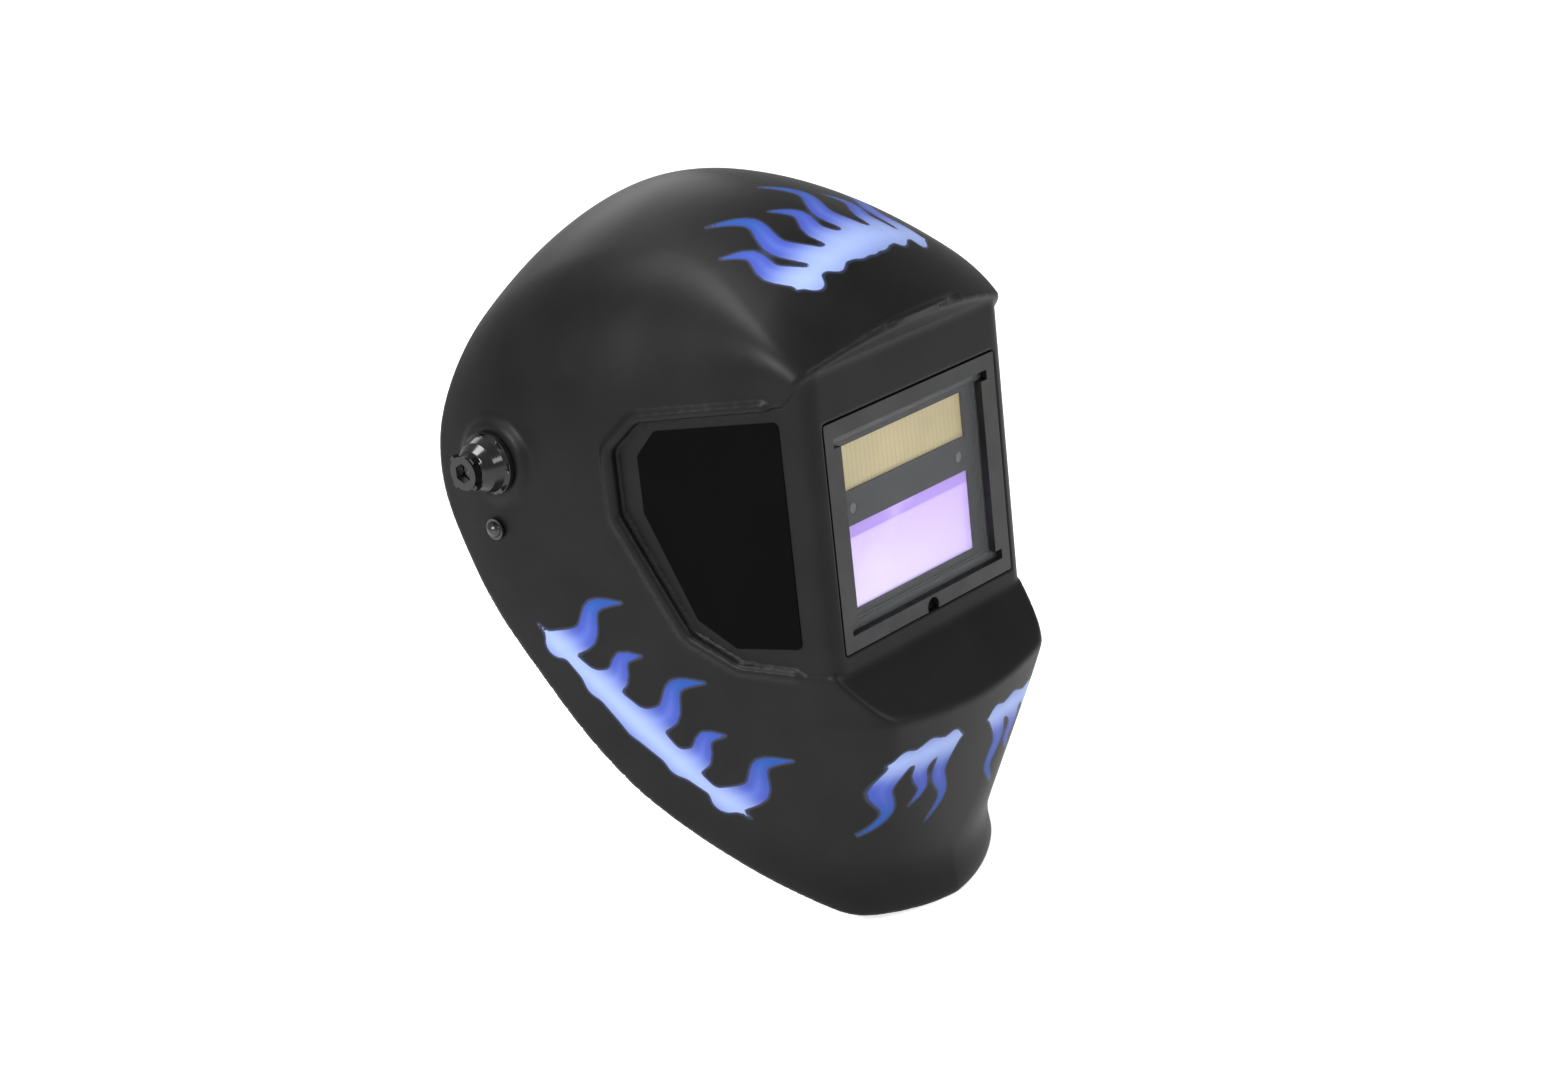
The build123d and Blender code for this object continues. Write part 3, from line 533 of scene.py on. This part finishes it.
def shell_paint():
    paint = Paint("shell_nylon", 0.42, specular=0.13)
    flame, painted_highlight, painted_reflection, recess = (paint.attribute(n) for n in PRINT_LAYERS)
    cloud = paint.ramp(paint.noise(30.0), 0.3, 0.7)
    body = paint.mix(cloud, (0.0028, 0.0028, 0.0028), (0.0052, 0.0052, 0.0052))
    body = paint.mix(recess, body, (0.0015, 0.0015, 0.0016))
    inside = paint.ramp(flame, 0.15, -0.35)
    halo = paint.ramp(flame, 1.5, 0.5)
    edge = paint.ramp(flame, -8.0, -0.6, smooth=True)
    blue = paint.mix(edge, (0.062, 0.098, 0.38), (0.034, 0.054, 0.27))
    # deep is the deeper royal blue of the painted reflection tone towards the lick tips.
    deep = paint.mix(edge, (0.024, 0.090, 0.30), (0.010, 0.048, 0.22))
    cool = paint.mix(painted_reflection, blue, deep)
    # Painted highlight: a pale blue laid over the flame along its base strokes.
    highlight_share = paint.ramp(painted_highlight, 0.0, 1.0, 0.0, 0.9, smooth=True)
    cool = paint.mix(highlight_share, cool, (0.33, 0.42, 0.64))
    colour = paint.mix(halo, body, (0.020, 0.024, 0.045))
    colour = paint.mix(inside, colour, cool)
    paint.to("Base Color", colour)
    paint.to("Roughness", paint.ramp(recess, 0.0, 1.0, 0.43, 0.16))
    return paint.grain(1500.0, 0.10, 0.00025).material


def filter_paint():
    paint = Paint("filter_coating", 0.16)
    axes = paint.add("ShaderNodeSeparateXYZ", Vector=paint.place).outputs
    # The lilac is painted lighter towards the bottom and the left and darker towards the top and the right:
    # a painted diagonal highlight. Above a line near the top it turns a darker violet, and pale cloudy
    # patches are mixed in.
    across = paint.ramp(axes["X"], -0.05, 0.05)
    up = paint.ramp(axes["Z"], -0.077, -0.034)
    colour = paint.mix(up, (0.66, 0.57, 0.92), (0.46, 0.34, 0.80))
    colour = paint.mix(paint.ramp(across, 0.2, 1.0, 0.0, 0.5), colour, (0.40, 0.26, 0.74))
    band = paint.ramp(axes["Z"], -0.042, -0.0405, smooth=True)
    colour = paint.mix(band, colour, (0.30, 0.18, 0.62))
    cloud = paint.ramp(paint.noise(26.0, 2.0), 0.45, 0.65, 0.0, 0.6)
    colour = paint.mix(cloud, colour, (0.62, 0.54, 0.90))
    paint.to("Base Color", colour)
    return paint.material


def solar_paint():
    paint = Paint("solar_cell", 0.32)
    wave = paint.add("ShaderNodeTexWave", Vector=paint.place, Scale=95.0, Distortion=0.0)
    wave.bands_direction = "X"
    line = paint.ramp(wave.outputs["Fac"], 0.95, 0.99)
    cloud = paint.ramp(paint.noise(40.0), 0.3, 0.7)
    colour = paint.mix(cloud, (0.30, 0.245, 0.105), (0.36, 0.295, 0.135))
    paint.to("Base Color", paint.mix(line, colour, (0.24, 0.19, 0.08)))
    return paint.material


def clear(name, colour, alpha, rough=0.02, specular=0.5):
    paint = Paint(name, rough, alpha=alpha, specular=specular)
    smear = paint.noise(70.0)
    paint.to("Base Color", paint.mix(smear, colour, tuple(c * 0.9 for c in colour)))
    paint.to("Roughness", paint.ramp(smear, 0.3, 0.7, rough, rough + 0.04))
    return paint.material


def board_paint():
    paint = Paint("circuit_board", 0.4)
    brick = paint.add("ShaderNodeTexBrick", Vector=paint.place, Scale=160.0)
    brick.inputs["Color1"].default_value = (0.012, 0.10, 0.035, 1)
    brick.inputs["Color2"].default_value = (0.012, 0.085, 0.03, 1)
    brick.inputs["Mortar"].default_value = (0.35, 0.22, 0.06, 1)
    paint.to("Base Color", brick.outputs["Color"])
    return paint.material


THREADS = 340.0          # about 0.9 mm from course to course


def fabric_paint():
    """Brushed knit: fine courses and wales, with a little fuzz."""
    paint = Paint("sweat_fabric", 0.92, specular=0.2)
    paint.shader.inputs["Sheen Weight"].default_value = 0.25
    threads = []
    for axis in "XZ":
        wave = paint.add("ShaderNodeTexWave", Vector=paint.place, Scale=THREADS, Distortion=0.8)
        wave.bands_direction = axis
        threads.append(wave.outputs["Fac"])
    knit = paint.add("ShaderNodeMath")
    knit.operation = "MULTIPLY"
    for k, thread in enumerate(threads):
        paint.tree.links.new(thread, knit.inputs[k])
    fuzz = paint.noise(900.0)
    # The colour follows the knit that also drives the bump and is darker where the bump is low: thread
    # texture, plus painted shade in the grooves between threads. The fuzz adds paler fibres.
    colour = paint.mix(knit.outputs[0], (0.010, 0.010, 0.011), (0.045, 0.045, 0.050))
    paint.to("Base Color", paint.mix(paint.ramp(fuzz, 0.35, 0.7, 0.0, 0.4), colour, (0.07, 0.07, 0.075)))
    bump = paint.add("ShaderNodeBump", Height=knit.outputs[0], Strength=0.6, Distance=0.0004)
    paint.to("Normal", bump.outputs["Normal"])
    return paint.material


PAINTS = {
    "gloss_black": plastic("gloss_black", (0.0012, 0.0012, 0.0013), 0.10, 300.0, 0.01, 0.1, 0.02, 0.03),
    "black_plastic": plastic("frame_black", (0.006, 0.006, 0.0063), 0.42, specular=0.35),
    "case_plastic": plastic("cartridge_case", (0.005, 0.005, 0.0055), 0.6, specular=0.16),
    "clear_cover": clear("clear_plate", (0.9, 0.93, 0.96), 0.03, specular=0.12),
    "black_rubber": plastic("gasket_foam", (0.012, 0.012, 0.012), 0.8, 2200.0, 0.3),
    "spring_steel": metal("spring_steel", (0.62, 0.61, 0.60), 0.28),
    "filter_glass": filter_paint(),
    "shade_glass": clear("shade_glass", (0.10, 0.16, 0.09), 0.7),
    "clear_glass": clear("rear_glass", (0.75, 0.85, 0.8), 0.35),
    "solar": solar_paint(),
    "sensor_lens": plastic("sensor_lens", (0.012, 0.006, 0.014), 0.12, 400.0, 0.02),
    "board_green": board_paint(),
    "cell_steel": metal("cell_steel", (0.72, 0.72, 0.71), 0.25),
    "stud_steel": plastic("stud_black", (0.008, 0.008, 0.008), 0.28, 900.0, 0.04),
    "bolt_steel": metal("bolt_steel", (0.60, 0.59, 0.56), 0.3),
    "washer_nylon": plastic("washer_nylon", (0.62, 0.60, 0.54), 0.45, vary=0.06),
    "knob_plastic": plastic("knob_black", (0.004, 0.004, 0.0045), 0.20, 700.0, 0.03, 0.15, 0.35, 0.05),
    "band_plastic": plastic("band_plastic", (0.018, 0.018, 0.019), 0.44, 1100.0, 0.15),
    "sweat_fabric": fabric_paint(),
    "shell_nylon": shell_paint(),
}
SLOT_OF = {s["node"]: s["material_slot"] for s in frame["record"]["subparts"]}


def paint_node(obj, paint):
    obj.data.materials.clear()
    obj.data.materials.append(paint)


for node, slot in SLOT_OF.items():
    paint_node(bpy.data.objects[node], PAINTS[slot])
paint_node(shell, PAINTS["shell_nylon"])
shell.data.materials.append(PAINTS["gloss_black"])
shell.data.polygons.foreach_set("material_index", in_recess.astype(np.int32))


# ---------------------------------------------------------------- soft pads of the headgear
BAND_TILT, BAND_Z = math.radians(-19.0), -3.5
BAND_A, BAND_B, BAND_V, BAND_POWER = 79.0, 106.0, 2.0, 2.3
BAND_SKIN = 2.2          # pads lie this far inside the band's outer oval
BROW_FROM, BROW_TO = math.radians(208.2), math.radians(331.8)
BROW_THICK, BROW_CHANNELS = 6.4, 9
NAPE_V = 94.3            # the face of the nape housing that the pad lies on
PAD_VOXEL = 1.6
CLOTH_FRAMES = 20


def from_band(x, v, w):
    """Band coordinates to the shared frame, in millimetres."""
    c, s = math.cos(BAND_TILT), math.sin(BAND_TILT)
    return np.stack([x, v * c - w * s, v * s + w * c + BAND_Z], axis=-1)


def oval(t, shrink):
    c, s = np.cos(t), np.sin(t)
    x = (BAND_A - shrink) * np.sign(c) * np.abs(c) ** (2 / BAND_POWER)
    v = (BAND_B - shrink) * np.sign(s) * np.abs(s) ** (2 / BAND_POWER)
    return x, BAND_V + v


def pad_profile(count, half_height, thick):
    """Closed cross-section of a sewn pad: a flat back, a crowned front and piped edges."""
    points = []
    for k in range(count):
        a = 2 * math.pi * k / count
        c, s = math.cos(a), math.sin(a)
        height = half_height * math.copysign(abs(s) ** 0.55, s)
        if c < 0:
            depth = 0.35 * c * (1 - (height / half_height) ** 6)
        else:
            depth = thick * abs(c) ** 0.8 * (1 - 0.12 * (height / half_height) ** 2)
        points.append((height, depth))
    return points


def puff(pad, cap, limit):
    """Swell a pad with a short cloth run and keep each point within cap of where it started."""
    scene = bpy.context.scene
    remesh = pad.modifiers.new("remesh", "REMESH")
    remesh.mode = "VOXEL"
    remesh.voxel_size = PAD_VOXEL * MM
    apply_modifiers(pad)
    start = mesh_points(pad.data)
    cloth = pad.modifiers.new("cloth", "CLOTH")
    cloth.settings.use_pressure = True
    cloth.settings.uniform_pressure_force = 4.0
    cloth.settings.effector_weights.gravity = 0.0
    cloth.point_cache.frame_start, cloth.point_cache.frame_end = 1, CLOTH_FRAMES
    for step in range(1, CLOTH_FRAMES + 1):
        scene.frame_set(step)
    apply_modifiers(pad)
    scene.frame_set(1)
    moved = mesh_points(pad.data) - start
    far = np.linalg.norm(moved, axis=1)
    share = np.minimum(1, cap / np.maximum(far, 1e-6)) * limit(start)
    place_points(pad.data, start + moved * share[:, None])
    pad.modifiers.new("smooth", "SUBSURF").levels = 1
    apply_modifiers(pad)


def mesh_points(mesh):
    co = np.empty(len(mesh.vertices) * 3, np.float32)
    mesh.vertices.foreach_get("co", co)
    return co.reshape(-1, 3).astype(float) / MM


def place_points(mesh, points):
    mesh.vertices.foreach_set("co", (points * MM).ravel().astype(np.float32))


def apply_modifiers(obj):
    graph = bpy.context.evaluated_depsgraph_get()
    graph.update()
    mesh = bpy.data.meshes.new_from_object(obj.evaluated_get(graph))
    obj.modifiers.clear()
    obj.data = mesh
    mesh.shade_smooth()


def to_band(points):
    """Shared frame to band coordinates v, w."""
    c, s = math.cos(BAND_TILT), math.sin(BAND_TILT)
    y, z = points[:, 1], points[:, 2] - BAND_Z
    return y * c + z * s, z * c - y * s


def depth_in_band(points):
    """How far inside the band's wall a point lies, and its angle round the oval."""
    v, w = to_band(points)
    x, v = points[:, 0] / BAND_A, (v - BAND_V) / BAND_B
    reach = (np.abs(x) ** BAND_POWER + np.abs(v) ** BAND_POWER) ** (1 / BAND_POWER)
    turn = np.arctan2(np.sign(v) * np.abs(v) ** (BAND_POWER / 2),
                      np.sign(x) * np.abs(x) ** (BAND_POWER / 2))
    return (1 - reach) * math.hypot(BAND_A, BAND_B) / math.sqrt(2) - BAND_SKIN, turn % (2 * math.pi)


def sew_channels(pad):
    """Press the sewn channels across the brow pad."""
    points = mesh_points(pad.data)
    deep, turn = depth_in_band(points)
    v, w = to_band(points)
    phase = (turn - BROW_FROM) / (BROW_TO - BROW_FROM) * BROW_CHANNELS % 1
    off = np.minimum(phase, 1 - phase)
    seam = np.exp(-(off / 0.05) ** 2)
    pucker = 1 + 0.35 * np.sin(w * 2.1) * np.exp(-(off / 0.12) ** 2)
    press = 0.42 * np.maximum(deep - 0.6, 0) * seam * pucker
    reach = (BAND_A + BAND_B) / 2
    grow = 1 + press / reach
    moved = from_band(points[:, 0] * grow, BAND_V + (v - BAND_V) * grow, w)
    place_points(pad.data, moved)


def finish_pad(pad, node):
    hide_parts(node)
    paint_node(pad, PAINTS["sweat_fabric"])


def make_brow_pad():
    """Sweat pad round the forehead, sewn across into soft channels."""
    rows, around = 240, 30
    points = []
    for i in range(rows + 1):
        share = i / rows
        t = BROW_FROM + (BROW_TO - BROW_FROM) * share
        close = min(share, 1 - share) * 26
        swell = 1 - math.exp(-close * close * 1.6) if close < 3 else 1.0
        half = 14.9 * (0.90 + 0.10 * swell)
        for height, depth in pad_profile(around, half, BROW_THICK):
            deep = 0.5 + depth * (0.25 + 0.75 * swell)
            x, v = oval(np.array(t), BAND_SKIN + deep)
            points.append(from_band(x, v, np.array(height)))
    faces = []
    for i in range(rows):
        for k in range(around):
            a, b = i * around + k, i * around + (k + 1) % around
            faces.append((a, b, b + around, a + around))
    faces.append(tuple(range(around)))
    faces.append(tuple(range(rows * around, (rows + 1) * around))[::-1])
    pad = mesh_object("brow_sweat_pad", points, faces, "headgear")
    puff(pad, 1.1, lambda p: ease((depth_in_band(p)[0] - 1.2) / 1.5))
    sew_channels(pad)
    finish_pad(pad, "brow_pad")


def make_rear_pad():
    """Nape pad: a crowned cushion with rounded corners and one sewn line round its edge."""
    nx, nw = 76, 40
    half_x, half_w, corner = 37.6, 18.6, 8.0
    front, back = [], []
    for j in range(nw + 1):
        for i in range(nx + 1):
            a, b = 2 * i / nx - 1, 2 * j / nw - 1
            x, w = half_x * a, half_w * b
            over_x, over_w = max(abs(x) - half_x + corner, 0), max(abs(w) - half_w + corner, 0)
            far = math.hypot(over_x, over_w)
            if far > corner:
                x = math.copysign(half_x - corner + over_x * corner / far, x)
                w = math.copysign(half_w - corner + over_w * corner / far, w)
            over = math.hypot(max(abs(x) - half_x + corner, 0), max(abs(w) - half_w + corner, 0))
            edge = min(corner - over, half_x - abs(x), half_w - abs(w))
            edge = max(edge, 0.0)
            crown = 1.2 + 6.2 * (1 - math.exp(-edge / 4.2))
            crown -= 0.9 * math.exp(-((edge - 3.4) / 0.8) ** 2)
            crown += 0.10 * math.sin(x * 1.3 + w) * math.exp(-((edge - 3.4) / 2.0) ** 2)
            if edge <= 0:
                crown = 0.0
            front.append(from_band(np.array(x), np.array(NAPE_V - crown), np.array(w)))
            back.append(from_band(np.array(x), np.array(NAPE_V + 0.1 if edge > 0 else NAPE_V), np.array(w)))
    row = nx + 1
    total = row * (nw + 1)
    faces = []
    for j in range(nw):
        for i in range(nx):
            q = (j * row + i, j * row + i + 1, (j + 1) * row + i + 1, (j + 1) * row + i)
            faces.append(q)
            faces.append(tuple(total + k for k in q[::-1]))
    pad = mesh_object("nape_sweat_pad", front + back, faces, "headgear")
    mesh = bmesh.new()
    mesh.from_mesh(pad.data)
    bmesh.ops.remove_doubles(mesh, verts=mesh.verts, dist=0.00002)
    bmesh.ops.recalc_face_normals(mesh, faces=mesh.faces)
    mesh.to_mesh(pad.data)
    mesh.free()
    pad.data.shade_smooth()
    puff(pad, 1.3, lambda p: ease((92.5 - to_band(p)[0]) / 2.0))
    finish_pad(pad, "rear_pad")


make_brow_pad()
make_rear_pad()


# ---------------------------------------------------------------- floor, light and finish
def make_stage():
    """Floor, world and soft lights."""
    low = CAD_BOX[0][2] - 0.0005
    mesh = bpy.data.meshes.new("floor")
    size = 12.0
    mesh.from_pydata([(-size, -size, low), (size, -size, low), (size, size, low), (-size, size, low)],
                     [], [(0, 1, 2, 3)])
    floor = link(bpy.data.objects.new("floor", mesh))
    mat = bpy.data.materials.new("floor")
    mat.use_nodes = True
    shader = mat.node_tree.nodes["Principled BSDF"]
    shader.inputs["Base Color"].default_value = (0.62, 0.62, 0.62, 1)
    shader.inputs["Roughness"].default_value = 0.9
    shader.inputs["Emission Color"].default_value = (1, 1, 1, 1)
    shader.inputs["Emission Strength"].default_value = 0.68
    mesh.materials.append(mat)
    world = bpy.data.worlds.new("world")
    bpy.context.scene.world = world
    world.use_nodes = True
    back = world.node_tree.nodes["Background"]
    back.inputs["Color"].default_value = (1, 1, 1, 1)
    back.inputs["Strength"].default_value = 0.55
    area_light("key", (-1.5, -0.2, 0.75), (0, -0.05, 0.02), (0.7, 0.35), 30)
    area_light("top", (-0.5, 0.2, 1.7), (0, -0.05, 0), (0.9, 0.5), 30)
    area_light("front", (0.3, -1.7, 0.7), (0, -0.1, 0), (0.8, 0.5), 13)
    area_light("rim", (0.8, 1.2, 0.9), (0, 0, 0), (0.8, 0.8), 6)


make_stage()
